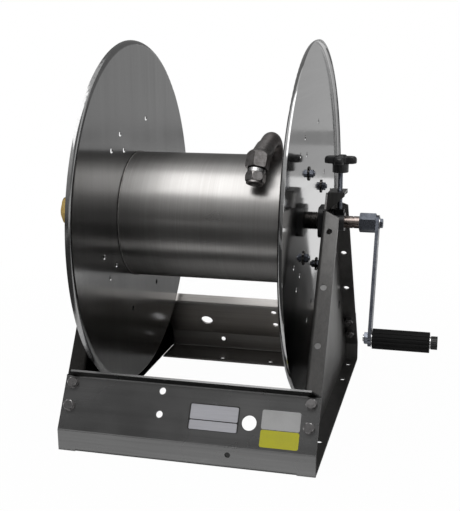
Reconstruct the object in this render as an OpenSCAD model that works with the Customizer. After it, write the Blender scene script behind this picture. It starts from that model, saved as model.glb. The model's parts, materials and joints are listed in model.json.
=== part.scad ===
/* [Reel] */
// Outside diameter of the two side discs
disc_d = 558.8; // [520:1:566]
// Thickness of the disc sheet
disc_t = 2; // [1.5:0.1:3]
// Outside radius of the rim rolled outward round each disc
rim_r = 8; // [5:0.5:11]
// Outside diameter of the drum
drum_d = 203.2; // [180:1:230]
// Wall of the drum
drum_wall = 2; // [1.5:0.1:3]
// Clear width between the discs
winding_w = 288; // [240:1:340]
// Thickness of the plates that close the drum
end_plate_t = 5; // [4:0.5:8]
// Distance from the drum's inner wall in to the disc bolts
bolt_inset = 8.6; // [8:0.1:20]
// Turn of the disc bolts from level
bolt_turn = 27; // [0:1:60]
// Diameter of the disc bolts
disc_bolt_d = 7; // [6:0.5:8]
// Diameter of the small holes through the discs
disc_hole_d = 9; // [6:0.5:12]
// Radius of the outer ring of disc holes
hole_ring_r = 158; // [150:1:175]
// Radius of the inner ring of disc holes
inner_hole_ring_r = 127.5; // [125:0.5:140]
// Radius of the two holes set beside the outer ring
side_hole_ring_r = 164; // [155:1:180]

/* [Shafts] */
// Height of the reel's axis above the base
axis_h = 317.5; // [310:0.5:340]
// Diameter of the crank side's shaft
drive_shaft_d = 19.05; // [16:0.05:21]
// Outside diameter of the hollow inlet shaft
inlet_shaft_d = 28.6; // [26:0.1:31]
// Bore of the inlet shaft
inlet_bore_d = 16; // [10:0.5:18]
// Outside diameter of the spacer on the drive shaft
drive_spacer_d = 28; // [26:0.5:34]
// Outside diameter of the spacer on the inlet shaft
inlet_spacer_d = 37; // [36:0.5:42]
// Diameter of the boss on each end plate
boss_d = 52; // [46:1:60]
// Length of the boss on each end plate
boss_len = 24; // [16:1:34]
// Width of each bearing's square flange
bearing_flange_w = 48; // [47:0.5:52]
// Corner radius of each bearing's flange
bearing_corner_r = 11; // [8:0.5:16]
// Thickness of each bearing's flange
bearing_flange_t = 12; // [8:0.5:14]
// Diameter of each bearing's sleeve in the stand
bearing_sleeve_d = 40; // [38:0.5:43]
// How far each bearing's sleeve stands out of the web
bearing_tail = 8; // [6:0.5:9]
// Outside diameter of the bearings' lock rings
lock_ring_d = 49; // [47:0.5:50]
// Thickness of the bearings' lock rings
lock_ring_t = 4; // [3:0.5:5]

/* [Frame] */
// Depth of the base over both cross members
base_depth = 493; // [480:1:540]
// Width of the flanges along the sides of each stand
flange_w = 25.5; // [24:0.5:30]
// Height of the upright strip at the foot
strip_h = 34; // [26:1:40]
// Lean of the front and rear faces from upright, in degrees
lean = 32; // [30:0.5:32]
// Sheet of the stands and cross members
sheet_t = 3; // [2:0.5:4]
// Inside radius of the folds in the sheet
fold_r = 2.5; // [1.5:0.5:4]
// Gap from each disc's outer face to the web of its stand
side_gap = 23.5; // [22:0.5:26]
// Height of the front and rear flanges' top ends above the axis
flange_rise = 26.5; // [26:0.5:32]
// Drop of the chamfer across each flange's top end
flange_chamfer = 10; // [4:0.5:14]
// Width of the slanted panel on each cross member
panel_len = 82; // [80:0.5:84]
// Width of the lip along each cross member's top
lip_len = 17; // [10:0.5:20]
// Lean of the lip, outward from upright, in degrees
lip_lean = 45; // [35:1:60]
// Cut across each end of the lip
lip_cut = 12; // [2:0.5:12]
// Height of the panel's ends above the floor, level with the fold between them
end_lift = 1.2; // [0.4:0.1:3]
// Width of each cross member's flange on the floor
foot_flange_w = 71.5; // [60:0.5:80]
// Diameter of the frame's bolt holes and mounting holes
hole_d = 10.5; // [10:0.1:11]
// Distance from the web's inner face to the middle of the flange holes
mount_in = 12.5; // [11.5:0.5:13.5]
// Front to back distance of the outer mounting holes
mount_dy_outer = 418; // [404:1:424]
// Front to back distance of the inner mounting holes
mount_dy_inner = 264; // [240:1:300]
// Place of the lower bolt row, up the slanted panel
row_low = 37; // [30:0.5:40]
// Place of the upper bolt row, up the slanted panel
row_high = 71.5; // [65:0.5:71.5]
// Place of the three flange holes, down from the flange's top end
flange_hole_down = [31.5, 119.5, 208];
// Diameter of the three flange holes
flange_hole_d = 9.5; // [6:0.5:12]
// Diameter of the hole low in each web
web_hole_d = 15; // [10:0.5:20]
// Place of the holes low in each web, from the middle and up
web_hole_at = [135, 140];
// Place of the two small holes in each panel, from the middle
panel_hole_x = -40.5; // [-60:0.5:-30]
// Diameter of the large hole in each panel
large_hole_d = 22; // [16:0.5:26]
// Place of the large hole in each panel, from the middle
large_hole_x = 95; // [90:0.5:98]
// Diameter of the hole in each upright strip
strip_hole_d = 8.4; // [6:0.1:10]
// Place of the hole in each upright strip, from the middle and up
strip_hole_at = [67.5, 21.5];
// Places of the two holes in each foot flange, from the middle
foot_hole_x = [55, -38];
// Distance of the foot flange's holes from the face
foot_hole_in = 57; // [40:1:60]

/* [Frame bolts] */
// Diameter of the frame bolts
frame_bolt_d = 9.5; // [8:0.1:9.8]
// Across flats of the frame bolts' heads and nuts
frame_hex = 14.3; // [13:0.1:16]
// Height of the frame bolts' heads
frame_head_h = 6; // [4:0.5:7]
// Height of the frame nuts
frame_nut_h = 8; // [6:0.5:9]
// Outside diameter of the frame washers
frame_washer_d = 17; // [15.5:0.5:17]
// Thickness of the frame washers
frame_washer_t = 1.8; // [1:0.1:2.5]

/* [Plates] */
// Width and height of the blank nameplate
nameplate_size = [75.4, 38.6];
// Middle of the nameplate, from the middle and up the panel
nameplate_at = [42.2, 39.3];
// Width of the small blank plates
label_w = 56.2; // [50:0.5:60]
// Height of the light blank plate
light_label_h = 28; // [24:0.5:29]
// Height of the yellow blank plate
yellow_label_h = 24.6; // [20:0.2:26]
// Gap from the small plates to the frame washers
label_side_gap = 4.2; // [2:0.2:6]
// Lower edge of the yellow plate, up the panel
label_up = 4.8; // [4:0.2:6]
// Gap between the small plates
label_gap = 0.8; // [0.5:0.1:2]
// Thickness of the plates
label_t = 0.6; // [0.4:0.1:1]
// Corner radius of the plates
label_r = 3; // [1:0.5:4]

/* [Outlet] */
// Outside diameter of the outlet pipe
pipe_d = 26.7; // [24:0.1:27]
// Bore of the outlet pipe
pipe_bore_d = 18; // [14:0.5:20]
// Centre line radius of the gooseneck's bend
bend_r = 20; // [18:0.5:24]
// Height of the bend's centre above the drum
bend_rise = 5.6; // [4:0.2:12]
// Lean of the bent pipe's end from straight down, in degrees
pipe_lean = 70; // [64:1:76]
// Turn of the outlet body, from the pipe's end to the outlet
outlet_turn = 42; // [38:1:43]
// Least gap between the drum and the corners of the swivel nut
outlet_gap = 5.4; // [3:0.2:8]
// Place of the riser along the axis, from the drum's middle
riser_x = 84.5; // [70:0.5:95]
// Turn of the gooseneck about the riser, in degrees
gooseneck_turn = 6; // [0:0.5:12]
// Outside diameter of the outlet body's socket
socket_d = 30; // [29:0.5:32]
// Length of the outlet body's socket, to its corner
socket_len = 34; // [30:0.5:36]
// Depth of the pipe in the socket
socket_depth = 10; // [6:0.5:12]
// Across flats of the outlet body
outlet_hex = 32; // [30:0.5:33]
// Length of the outlet body below its corner
outlet_body_len = 15; // [14:0.5:20]
// Diameter of the outlet's bright neck
outlet_neck_d = 27; // [25:0.1:28]
// Length of the outlet's bright neck
outlet_neck_len = 6; // [5:0.5:9]
// Thickness of the black seal on the neck
outlet_seal_t = 1.6; // [1:0.1:2.5]
// Across flats of the swivel nut
outlet_nut_hex = 27.6; // [26:0.1:28.5]
// Length of the swivel nut
outlet_nut_len = 16; // [14:0.5:20]
// Diameter of the nose that the swivel nut turns on
nose_d = 21; // [20:0.1:22]
// Depth of the nose in the swivel nut
nose_len = 7; // [5:0.5:8]
// Diameter of the outlet thread's bore
outlet_thread_d = 19; // [16:0.1:20]

/* [Inlet] */
// Distance from the frame's side to the inlet's open end
inlet_reach = 80; // [76:0.5:90]
// Across flats of the brass inlet's hexagon
inlet_hex = 44; // [42:0.5:46]
// Length of the inlet's hexagon
inlet_hex_len = 30; // [28:0.5:34]
// Diameter of the inlet's round neck
inlet_neck_d = 40; // [38:0.5:42]
// Length of the inlet's round neck
inlet_neck_len = 18; // [14:0.5:20]
// Diameter of the inlet thread's bore
inlet_thread_d = 24; // [20:0.1:26]
// Depth of the inlet thread's bore
inlet_thread_len = 18; // [14:0.5:18]

/* [Crank] */
// Across flats of the crank's hexagon hub
crank_hub_hex = 27; // [26:0.1:30]
// Length of the crank hub
crank_hub_len = 25.5; // [22:0.5:30]
// Distance from the frame's side to the crank hub
crank_reach = 25.5; // [20:0.5:40]
// Distance between the shaft and the grip's spindle
crank_len = 180; // [160:1:200]
// Lean of the crank arm toward the front, in degrees
crank_lean = 25; // [0:1:60]
// Width of the crank arm
arm_w = 25; // [22:0.5:30]
// Thickness of the crank arm
arm_t = 4.8; // [4:0.1:7]
// Diameter of the crank bolt
crank_bolt_d = 8; // [6:0.5:9]
// Diameter of the grip
grip_d = 31; // [28:0.5:36]
// Length of the grip
grip_len = 85; // [70:1:110]
// Number of flutes round the grip
grip_flutes = 16; // [12:1:18]
// Radius of the grip's flutes
flute_r = 2; // [1.5:0.1:2.2]
// Diameter of the grip's spindle
spindle_d = 12; // [10:0.5:13]
// Diameter of the knurled nut at the grip's end
end_nut_d = 20; // [17:0.5:24]
// Length of the knurled nut at the grip's end
end_nut_len = 9.5; // [8:0.5:12]

/* [Drag brake] */
// Distance from the web's inner face to the brake screw
brake_x = 19; // [17:0.5:20]
// Diameter of the brake screw
screw_d = 8; // [6:0.5:8.5]
// Height of the brake tab's top above the axis
tab_rise = 49.5; // [46:0.5:56]
// Length of the tab, out from the web's inner face
tab_len = 28.5; // [27:0.5:32]
// Width of the tab
tab_w = 38; // [34:0.5:42]
// Height of the gussets under the tab
gusset_h = 26; // [20:0.5:28]
// Width of the stand's neck at its foot
neck_w = 72; // [66:1:80]
// Outside diameter of the knob
knob_d = 50; // [44:0.5:54]
// Radius of the knob's lobes
lobe_r = 10.5; // [9:0.5:11]
// Height of the knob's lobes
lobe_h = 11.5; // [9:0.5:14]
// Diameter of the knob's hub
knob_hub_d = 25; // [22:0.5:28]
// Height of the knob's hub
knob_hub_h = 13.5; // [10:0.5:16]
// Height of the knob's hub above the tab
knob_rise = 29; // [24:0.5:36]
// Outside diameter of the black ring that the brake grips
brake_ring_d = 29; // [28:0.5:31]
// Width of the brake ring
brake_ring_w = 16; // [14.5:0.5:16]
// Length and width of the brake pad
pad_size = [14, 16];
// Height of the brake pad at its middle
pad_h = 6; // [5:0.5:8]

/* [Clearances] */
// Gap of parts that turn past each other
run_gap = 0.3; // [0.2:0.05:0.5]
// Radial clearance of turning fits
fit_gap = 0.06; // [0.02:0.01:0.1]
// Gap between sheets that are bolted face to face
seat_gap = 0.15; // [0.15:0.05:0.3]
// Gap round bolts and pipes in their holes
hole_gap = 0.25; // [0.2:0.05:0.6]

/* [Hidden] */
$fn = 64;
// Overlap of a cutter past the face that it cuts
over = 1;
// How far a straight pipe runs into its bend, and how much thinner its wall is on each face
lap = 0.4;
skin = 0.05;
// Facets of a round pattern of small teeth or flutes
small_fn = 32;
fold_steps = 6;
disc_r = disc_d / 2;
drum_r = drum_d / 2;
disc_in_x = winding_w / 2;
disc_out_x = disc_in_x + disc_t;
web_x = disc_out_x + side_gap;
frame_x = web_x + flange_w;
mount_x = web_x + mount_in;
face_y = base_depth / 2;
panel_dir = [sin(lean), cos(lean)];
flange_top_z = axis_h + flange_rise;
flange_len = (flange_top_z - strip_h) / cos(lean);
bearing_in_x = web_x - bearing_flange_t;
bearing_out_x = web_x + sheet_t + bearing_tail;
bolt_r = drum_r - drum_wall - bolt_inset;
bolt_angles = [for (k = [0:3]) bolt_turn + 90 * k];
outer_hole_angles = [73.5, 118.5, 208.5, 253.5, 298.5];
inner_hole_angles = [28.5, 118.5, 208.5];
side_hole_angles = [134, 193];
tab_top_z = axis_h + tab_rise;
tab_edge_x = web_x + tab_len;
screw_x = web_x + brake_x;
screw_pitch = 1.5;
foot_flange_x = web_x - run_gap;
hub_x = frame_x + crank_reach;
arm_x = hub_x + crank_hub_len;
hub_wall_t = 0.6;
shaft_end_x = arm_x - hub_wall_t;
crank_washer_d = 18;
crank_washer_t = 1.2;
crank_head_hex = 13;
crank_head_h = 4.5;
crank_bolt_depth = 18;
grip_washer_t = 1.6;
grip_washer_d = 18;
grip_x = arm_x + arm_t + grip_washer_t + 2 * seat_gap;
grip_end_x = grip_x + grip_len;
end_nut_x = grip_end_x + grip_washer_t + 2 * seat_gap;
spindle_nut_hex = 17;
spindle_nut_t = 6;
spindle_thread_d = 10;
inlet_end_x = frame_x + inlet_reach;
inlet_shaft_end_x = inlet_end_x - inlet_thread_len - 5;
coupling_x = disc_in_x - 50;
coupling_len = 30;
elbow_d = 38;
elbow_half = 24;
nose_flange = 1.5;
label_x = mount_x - frame_washer_d / 2 - label_side_gap - label_w / 2;
elbow_stop = pipe_d / 2 + 1;
bend_z = drum_r + bend_rise;
nut_ring_len = 3;
// Headings and ends of the outlet's centre line, forward and up from the axis
pipe_dir = [sin(pipe_lean), -cos(pipe_lean)];
outlet_dir = [sin(pipe_lean - outlet_turn), -cos(pipe_lean - outlet_turn)];
bend_end = [bend_r * (1 + cos(pipe_lean)), bend_z + bend_r * sin(pipe_lean)];
nut_s = outlet_body_len + outlet_seal_t + outlet_neck_len + run_gap;
nut_hex_len = outlet_nut_len - nut_ring_len;
short_end = bend_end + socket_len * pipe_dir + (nut_s + nut_hex_len) * outlet_dir;
// Straight run of the pipe that sets the swivel nut clear of the drum
nut_clear_r = drum_r + outlet_nut_hex / sqrt(3) + outlet_gap;
pipe_run = sqrt((short_end * pipe_dir) ^ 2 - short_end * short_end + nut_clear_r ^ 2) - short_end * pipe_dir;
knob_z = tab_top_z + knob_rise;
knob_cup = 6;
pad_top_z = axis_h + brake_ring_d / 2 + run_gap + pad_h;
pad_pocket = 2.5;
weld_nut_hex = 13;
weld_nut_h = 6.5;
groove_w = 1.6;
groove_depth = 0.9;

steel = [0.62, 0.63, 0.64];
bright_steel = [0.78, 0.79, 0.8];
zinc = [0.55, 0.58, 0.64];
dark_steel = [0.32, 0.31, 0.31];
warm_steel = [0.5, 0.47, 0.46];
black_plastic = [0.07, 0.07, 0.075];
black_rubber = [0.05, 0.05, 0.05];
brass_tone = [0.6, 0.47, 0.2];

// Unit vector from one point to the next
function unit(a, b) = (b - a) / norm(b - a);
// Right hand normal of a heading
function right(u) = [u[1], -u[0]];
// A path of corners moved sideways to its right
function moved(path, d) = [
    for (i = [0:len(path) - 1])
        let (
            u0 = unit(path[max(i - 1, 0)], path[max(i, 1)]),
            u1 = i < len(path) - 1 ? unit(path[i], path[i + 1]) : u0,
            n0 = right(u0),
            n1 = right(u1)
        ) path[i] + d * (n0 + n1) / (1 + n0 * n1)
];
// A path with its corners rounded, by one radius to the right and one to the left
function rounded(path, right_r, left_r) = [
    for (i = [0:len(path) - 1])
        if (i == 0 || i == len(path) - 1) path[i]
        else let (
            u0 = unit(path[i - 1], path[i]),
            u1 = unit(path[i], path[i + 1]),
            side = u0[0] * u1[1] - u0[1] * u1[0] > 0 ? 1 : -1,
            turn = side * acos(u0 * u1),
            r = side > 0 ? left_r : right_r,
            start = path[i] - u0 * r * tan(abs(turn) / 2),
            centre = start - side * r * right(u0),
            from = atan2(start[1] - centre[1], start[0] - centre[0])
        ) each [
            for (k = [0:fold_steps])
                let (a = from + turn * k / fold_steps) centre + r * [cos(a), sin(a)]
        ]
];
function reversed(list) = [for (i = [len(list) - 1:-1:0]) list[i]];
// The outline of a sheet folded along a path of outer corners
function folded(path, t, r) = concat(
    rounded(path, r + t, r),
    reversed(rounded(moved(path, t), r, r + t))
);

// Corners of a cross member's outer face, from its floor flange to its lip
foot_corner = [-face_y, 0];
strip_corner = [-face_y, strip_h];
lip_corner = strip_corner + panel_len * panel_dir;
lip_tip = lip_corner + lip_len * [-sin(lip_lean), cos(lip_lean)];
member_path = [[foot_flange_w - face_y, 0], foot_corner, strip_corner, lip_corner, lip_tip];
panel_path = concat([[-face_y, end_lift]], [for (i = [2:4]) member_path[i]]);
// Corners of a stand's front edge, behind the cross member
stand_inset = sheet_t + seat_gap;
edge_path = [foot_corner, strip_corner, strip_corner + flange_len * panel_dir];
stand_path = moved(edge_path, stand_inset);
channel_path = moved(edge_path, stand_inset + sheet_t);
// A path's point at a height, past its last corner
function at_height(path, z) = path[1] + (z - path[1][1]) / cos(lean) * panel_dir;

// Places children with their Z along the reel's axis
module on_axis(x = 0) {
    translate([x, 0, axis_h]) rotate([0, 90, 0]) children();
}
// Places children at a radius and an angle round the axis
module around(r, a) {
    rotate([0, 0, a + 90]) translate([r, 0, 0]) children();
}
// Places children on the front face, Z pointing out of it
module on_front(x, up) {
    translate([0, -face_y, strip_h]) rotate([90 - lean, 0, 0]) translate([x, up, 0]) children();
}
module at_rear() {
    rotate([0, 0, 180]) children();
}
module both_sides() {
    children();
    mirror([1, 0, 0]) children();
}
module ring(outer_d, inner_d, h) {
    difference() {
        cylinder(h = h, d = outer_d);
        translate([0, 0, -over]) cylinder(h = h + 2 * over, d = inner_d);
    }
}
module hexagon(flats, h) {
    cylinder(h = h, d = flats / cos(30), $fn = 6);
}
// A bolt's head, its outer corners turned off at 30 degrees
module bolt_head(flats, h) {
    intersection() {
        hexagon(flats, h);
        cylinder(h = h, r1 = 0.47 * flats + h / tan(30), r2 = 0.47 * flats);
    }
}
// A drawing in the side view, given a thickness along X
module side_plate(x, t, points) {
    translate([x, 0, 0]) rotate([90, 0, 90]) linear_extrude(t) polygon(points);
}
module round_plate(size, r, t) {
    linear_extrude(t) {
        square([size[0] - 2 * r, size[1]], center = true);
        square([size[0], size[1] - 2 * r], center = true);
        for (sx = [-1, 1], sy = [-1, 1])
            translate([sx * (size[0] / 2 - r), sy * (size[1] / 2 - r)]) circle(r, $fn = small_fn);
    }
}

// Sides of a stand and of its channel, closed at the back by their mirror image
function both_edges(path) = concat(path, [for (p = reversed(path)) [-p[0], p[1]]]);
stand_top_y = at_height(stand_path, flange_top_z)[0];

// Rounds the fold along one edge of the web
module fold_cut(length) {
    r = fold_r + sheet_t;
    translate([0, 0, -over]) linear_extrude(length + 2 * over) polygon(concat(
        [[-over, r], [-over, -over], [r, -over]],
        [for (k = [0:fold_steps]) let (a = 270 - 90 * k / fold_steps) [r + r * cos(a), r + r * sin(a)]]
    ));
}
module web_fold_cuts() {
    for (s = [0, 1]) mirror([0, s, 0]) {
        translate([web_x, stand_path[0][0], 0]) fold_cut(strip_h);
        translate([web_x, stand_path[1][0], stand_path[1][1]]) rotate([-lean, 0, 0])
            fold_cut(flange_len);
    }
    translate([web_x, face_y, 0]) rotate([90, 0, 0]) fold_cut(base_depth);
}
module mounting_holes() {
    for (y = [-mount_dy_outer, -mount_dy_inner, mount_dy_inner, mount_dy_outer] / 2)
        translate([mount_x, y, -over]) cylinder(h = sheet_t + 2 * over, d = hole_d);
}
module flange_holes() {
    for (s = [0, 180]) rotate([0, 0, s]) for (x = [-mount_x, mount_x]) {
        for (down = flange_hole_down)
            on_front(x, flange_len - down) translate([0, 0, -4 * sheet_t])
                cylinder(h = 4 * sheet_t, d = flange_hole_d);
        for (up = [row_low, row_high])
            on_front(x, up) translate([0, 0, -4 * sheet_t]) cylinder(h = 4 * sheet_t, d = hole_d);
    }
}
// The folded stand on the right, without its neck
module stand() {
    top = [stand_top_y, flange_top_z];
    difference() {
        side_plate(web_x, frame_x - web_x, both_edges([stand_path[0], stand_path[1], top]));
        side_plate(web_x + sheet_t, frame_x, both_edges([
            [channel_path[0][0], sheet_t],
            channel_path[1],
            at_height(channel_path, flange_top_z + over)
        ]));
        web_fold_cuts();
        translate([0, face_y, 0]) rotate([90, 0, 0]) linear_extrude(base_depth) polygon([
            [web_x + sheet_t, flange_top_z],
            [frame_x + over, flange_top_z + over],
            [frame_x + over, flange_top_z - flange_chamfer]
        ]);
        mounting_holes();
        flange_holes();
        on_axis(web_x - over) cylinder(h = sheet_t + 2 * over, d = bearing_sleeve_d + 2 * hole_gap);
        for (s = [-1, 1])
            translate([web_x - over, s * web_hole_at[0], web_hole_at[1]]) rotate([0, 90, 0])
                cylinder(h = sheet_t + 2 * over, d = web_hole_d);
    }
}
// The neck, tab and gussets that carry the brake screw
module neck() {
    side = neck_w / 2;
    narrow = side - (tab_rise - flange_rise - sheet_t) * tan(lean);
    difference() {
        union() {
            side_plate(web_x, sheet_t, both_edges([
                [-side, flange_top_z - over],
                [-side, flange_top_z],
                [-narrow, tab_top_z - sheet_t],
                [-tab_w / 2, tab_top_z]
            ]));
            translate([web_x, -tab_w / 2, tab_top_z - sheet_t]) cube([tab_len, tab_w, sheet_t]);
            for (s = [0, 1]) mirror([0, s, 0])
                translate([0, -tab_w / 2 + sheet_t, 0]) rotate([90, 0, 0]) linear_extrude(sheet_t)
                    polygon([
                        [web_x + sheet_t, tab_top_z - sheet_t - gusset_h],
                        [tab_edge_x, tab_top_z - 2 * sheet_t],
                        [tab_edge_x, tab_top_z - sheet_t],
                        [web_x + sheet_t, tab_top_z - sheet_t]
                    ]);
        }
        translate([web_x, tab_w / 2, tab_top_z]) rotate([90, 0, 0]) mirror([0, 1, 0])
            fold_cut(tab_w);
        translate([screw_x, 0, tab_top_z - sheet_t - over])
            cylinder(h = sheet_t + 2 * over, d = screw_d + 4 * hole_gap);
    }
}
module left_stand() {
    color(steel) mirror([1, 0, 0]) stand();
}
module right_stand() {
    color(steel) {
        stand();
        neck();
    }
}

// The front cross member: floor flange, strip, slanted panel and lip
module cross_member() {
    difference() {
        union() {
            side_plate(-foot_flange_x, 2 * foot_flange_x, folded(member_path, sheet_t, fold_r));
            both_sides() side_plate(
                foot_flange_x - over,
                frame_x - foot_flange_x + over,
                folded(panel_path, sheet_t, fold_r)
            );
        }
        both_sides() rotate([90, 0, 0]) linear_extrude(face_y + over) polygon([
            [frame_x + over, lip_corner[1]],
            [frame_x + over, lip_tip[1] + sheet_t],
            [frame_x - lip_cut, lip_tip[1] + sheet_t],
            [frame_x - lip_cut, lip_tip[1]]
        ]);
        for (x = [-mount_x, mount_x, panel_hole_x], up = [row_low, row_high])
            on_front(x, up) translate([0, 0, -sheet_t - over]) cylinder(h = sheet_t + 2 * over, d = hole_d);
        on_front(large_hole_x, row_low) translate([0, 0, -sheet_t - over])
            cylinder(h = sheet_t + 2 * over, d = large_hole_d);
        translate([strip_hole_at[0], over - face_y + sheet_t, strip_hole_at[1]]) rotate([90, 0, 0])
            cylinder(h = sheet_t + 2 * over, d = strip_hole_d);
        for (x = foot_hole_x)
            translate([x, foot_hole_in - face_y, -over]) cylinder(h = sheet_t + 2 * over, d = hole_d);
    }
}
module front_cross_member() {
    color(steel) cross_member();
}
module rear_cross_member() {
    color(steel) at_rear() cross_member();
}

// Places children at every frame bolt, Z out of the panel
module at_frame_bolts() {
    for (s = [0, 180]) rotate([0, 0, s])
        for (x = [-mount_x, mount_x], up = [row_low, row_high]) on_front(x, up) children();
}
frame_grip = 2 * sheet_t + seat_gap;
module frame_bolts() {
    shank = frame_grip + frame_nut_h + 3;
    color(zinc) at_frame_bolts() {
        translate([0, 0, frame_washer_t]) bolt_head(frame_hex, frame_head_h);
        translate([0, 0, -shank]) cylinder(h = shank + frame_washer_t, d = frame_bolt_d);
    }
}
module frame_washers() {
    color(bright_steel) at_frame_bolts()
        ring(frame_washer_d, frame_bolt_d + 2 * fit_gap, frame_washer_t);
}
module frame_nuts() {
    color(zinc) at_frame_bolts() translate([0, 0, -frame_grip - frame_nut_h]) difference() {
        hexagon(frame_hex, frame_nut_h);
        translate([0, 0, -over]) cylinder(h = frame_nut_h + 2 * over, d = frame_bolt_d + 2 * fit_gap);
    }
}

// A flanged bearing on the right, for a shaft of the given size
module bearing(shaft_d) {
    difference() {
        union() {
            on_axis(bearing_in_x)
                round_plate([bearing_flange_w, bearing_flange_w], bearing_corner_r, bearing_flange_t);
            on_axis(web_x - over) cylinder(h = sheet_t + bearing_tail + over, d = bearing_sleeve_d);
        }
        on_axis(bearing_in_x - over)
            cylinder(h = bearing_flange_t + sheet_t + bearing_tail + 2 * over, d = shaft_d + 2 * fit_gap);
    }
}
module left_bearing() {
    color(black_plastic) mirror([1, 0, 0]) bearing(inlet_shaft_d);
}
module right_bearing() {
    color(black_plastic) bearing(drive_shaft_d);
}
module bearing_lock_rings() {
    color(dark_steel) both_sides() on_axis(web_x + sheet_t)
        ring(lock_ring_d, bearing_sleeve_d + 2 * fit_gap, lock_ring_t);
}

module nameplate() {
    color(black_plastic) on_front(nameplate_at[0], nameplate_at[1])
        round_plate(nameplate_size, label_r, label_t);
}
module light_label() {
    up = label_up + yellow_label_h + label_gap + light_label_h / 2;
    color("gainsboro") on_front(label_x, up) round_plate([label_w, light_label_h], label_r, label_t);
}
module yellow_label() {
    color("gold") on_front(label_x, label_up + yellow_label_h / 2)
        round_plate([label_w, yellow_label_h], label_r, label_t);
}
module brake_weld_nut() {
    color(zinc) translate([screw_x, 0, tab_top_z - sheet_t - weld_nut_h]) difference() {
        hexagon(weld_nut_hex, weld_nut_h);
        translate([0, 0, -over]) cylinder(h = weld_nut_h + 2 * over, d = screw_d + 2 * fit_gap);
    }
}

module drum() {
    color(steel) difference() {
        on_axis(-disc_in_x) ring(drum_d, drum_d - 2 * drum_wall, winding_w);
        translate([riser_x, 0, axis_h]) cylinder(h = drum_d, d = pipe_d + 2 * hole_gap);
    }
}
// The right disc, flat with a rim rolled outward, round a centre hole
module disc(centre_d) {
    on_axis(disc_in_x) difference() {
        rotate_extrude($fn = 128) {
            translate([centre_d / 2, 0]) square([disc_r - rim_r - centre_d / 2, disc_t]);
            translate([disc_r - rim_r, rim_r]) intersection() {
                difference() {
                    circle(rim_r);
                    circle(rim_r - disc_t);
                }
                translate([0, -rim_r]) square(rim_r);
            }
        }
        for (a = outer_hole_angles) around(hole_ring_r, a) disc_hole(disc_hole_d);
        for (a = inner_hole_angles) around(inner_hole_ring_r, a) disc_hole(disc_hole_d);
        for (a = side_hole_angles) around(side_hole_ring_r, a) disc_hole(disc_hole_d);
        for (a = bolt_angles) around(bolt_r, a) disc_hole(disc_bolt_d + 2 * hole_gap);
    }
}
module disc_hole(d) {
    translate([0, 0, -over]) cylinder(h = disc_t + 2 * over, d = d, $fn = small_fn);
}
module left_disc() {
    color(steel) mirror([1, 0, 0]) disc(inlet_shaft_d + 2 * hole_gap);
}
module right_disc() {
    color(steel) disc(drive_shaft_d + 2 * hole_gap);
}
// The plate and boss that close the drum's right end
module end_plate(shaft_d) {
    on_axis(disc_in_x) mirror([0, 0, 1]) difference() {
        union() {
            cylinder(h = end_plate_t, d = drum_d - 2 * drum_wall - 2 * fit_gap);
            cylinder(h = boss_len, d = boss_d);
        }
        translate([0, 0, -over]) cylinder(h = boss_len + 2 * over, d = shaft_d + 2 * fit_gap);
        mirror([0, 0, 1]) translate([0, 0, -end_plate_t]) for (a = bolt_angles) around(bolt_r, a)
            translate([0, 0, -over])
                cylinder(h = end_plate_t + 2 * over, d = disc_bolt_d + 2 * hole_gap, $fn = small_fn);
    }
}
module left_end_plate() {
    color(dark_steel) mirror([1, 0, 0]) end_plate(inlet_shaft_d);
}
module right_end_plate() {
    color(dark_steel) end_plate(drive_shaft_d);
}

// Places children at every disc bolt, Z outward along the axis, from the disc's outer face
module at_disc_bolts() {
    both_sides() on_axis(disc_out_x) for (a = bolt_angles) around(bolt_r, a) children();
}
star_t = 1.6;
star_root_d = 14.5;
star_tip_d = 21.5;
disc_nut_h = 6;
module disc_bolts() {
    grip_len = end_plate_t + disc_t;
    tail = star_t + disc_nut_h + 2;
    color(zinc) at_disc_bolts() {
        translate([0, 0, -grip_len - 4.5]) cylinder(h = 4.5, d = 1.6 * disc_bolt_d);
        translate([0, 0, -grip_len]) cylinder(h = grip_len + tail, d = disc_bolt_d);
    }
}
module star_washers() {
    teeth = 10;
    color(dark_steel) at_disc_bolts() difference() {
        union() {
            cylinder(h = star_t, d = star_root_d);
            for (k = [0:teeth - 1]) rotate([0, 0, k * 360 / teeth]) linear_extrude(star_t) polygon([
                [star_root_d / 2 - over, -2],
                [star_tip_d / 2, -1.4],
                [star_tip_d / 2, 1.4],
                [star_root_d / 2 - over, 2]
            ]);
        }
        translate([0, 0, -over])
            cylinder(h = star_t + 2 * over, d = disc_bolt_d + 2 * fit_gap, $fn = small_fn);
    }
}
module disc_nuts() {
    color(zinc) at_disc_bolts() translate([0, 0, star_t]) difference() {
        bolt_head(1.6 * disc_bolt_d, disc_nut_h);
        translate([0, 0, -over])
            cylinder(h = disc_nut_h + 2 * over, d = disc_bolt_d + 2 * fit_gap, $fn = small_fn);
    }
}

// Rings and tubes of the left side are drawn on the right and mirrored
module inlet_shaft() {
    color(bright_steel) mirror([1, 0, 0]) on_axis(coupling_x) difference() {
        cylinder(h = inlet_shaft_end_x - coupling_x, d = inlet_shaft_d);
        translate([0, 0, -over])
            cylinder(h = inlet_shaft_end_x - coupling_x + 2 * over, d = inlet_bore_d);
        translate([0, 0, snap_x - coupling_x])
            ring(inlet_shaft_d + 2 * over, inlet_shaft_d - 2 * groove_depth, groove_w);
    }
}
snap_x = bearing_out_x + run_gap;
drive_groove_x = frame_x + 0.58 * crank_reach;
module drive_shaft() {
    from = disc_in_x - boss_len;
    color(bright_steel) on_axis(from) difference() {
        cylinder(h = shaft_end_x - from, d = drive_shaft_d);
        translate([0, 0, drive_groove_x - from])
            ring(drive_shaft_d + 2 * over, drive_shaft_d - 2 * groove_depth, groove_w);
        translate([0, 0, shaft_end_x - from - crank_bolt_depth])
            cylinder(h = crank_bolt_depth + over, d = crank_bolt_d + 2 * fit_gap);
    }
}
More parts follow.
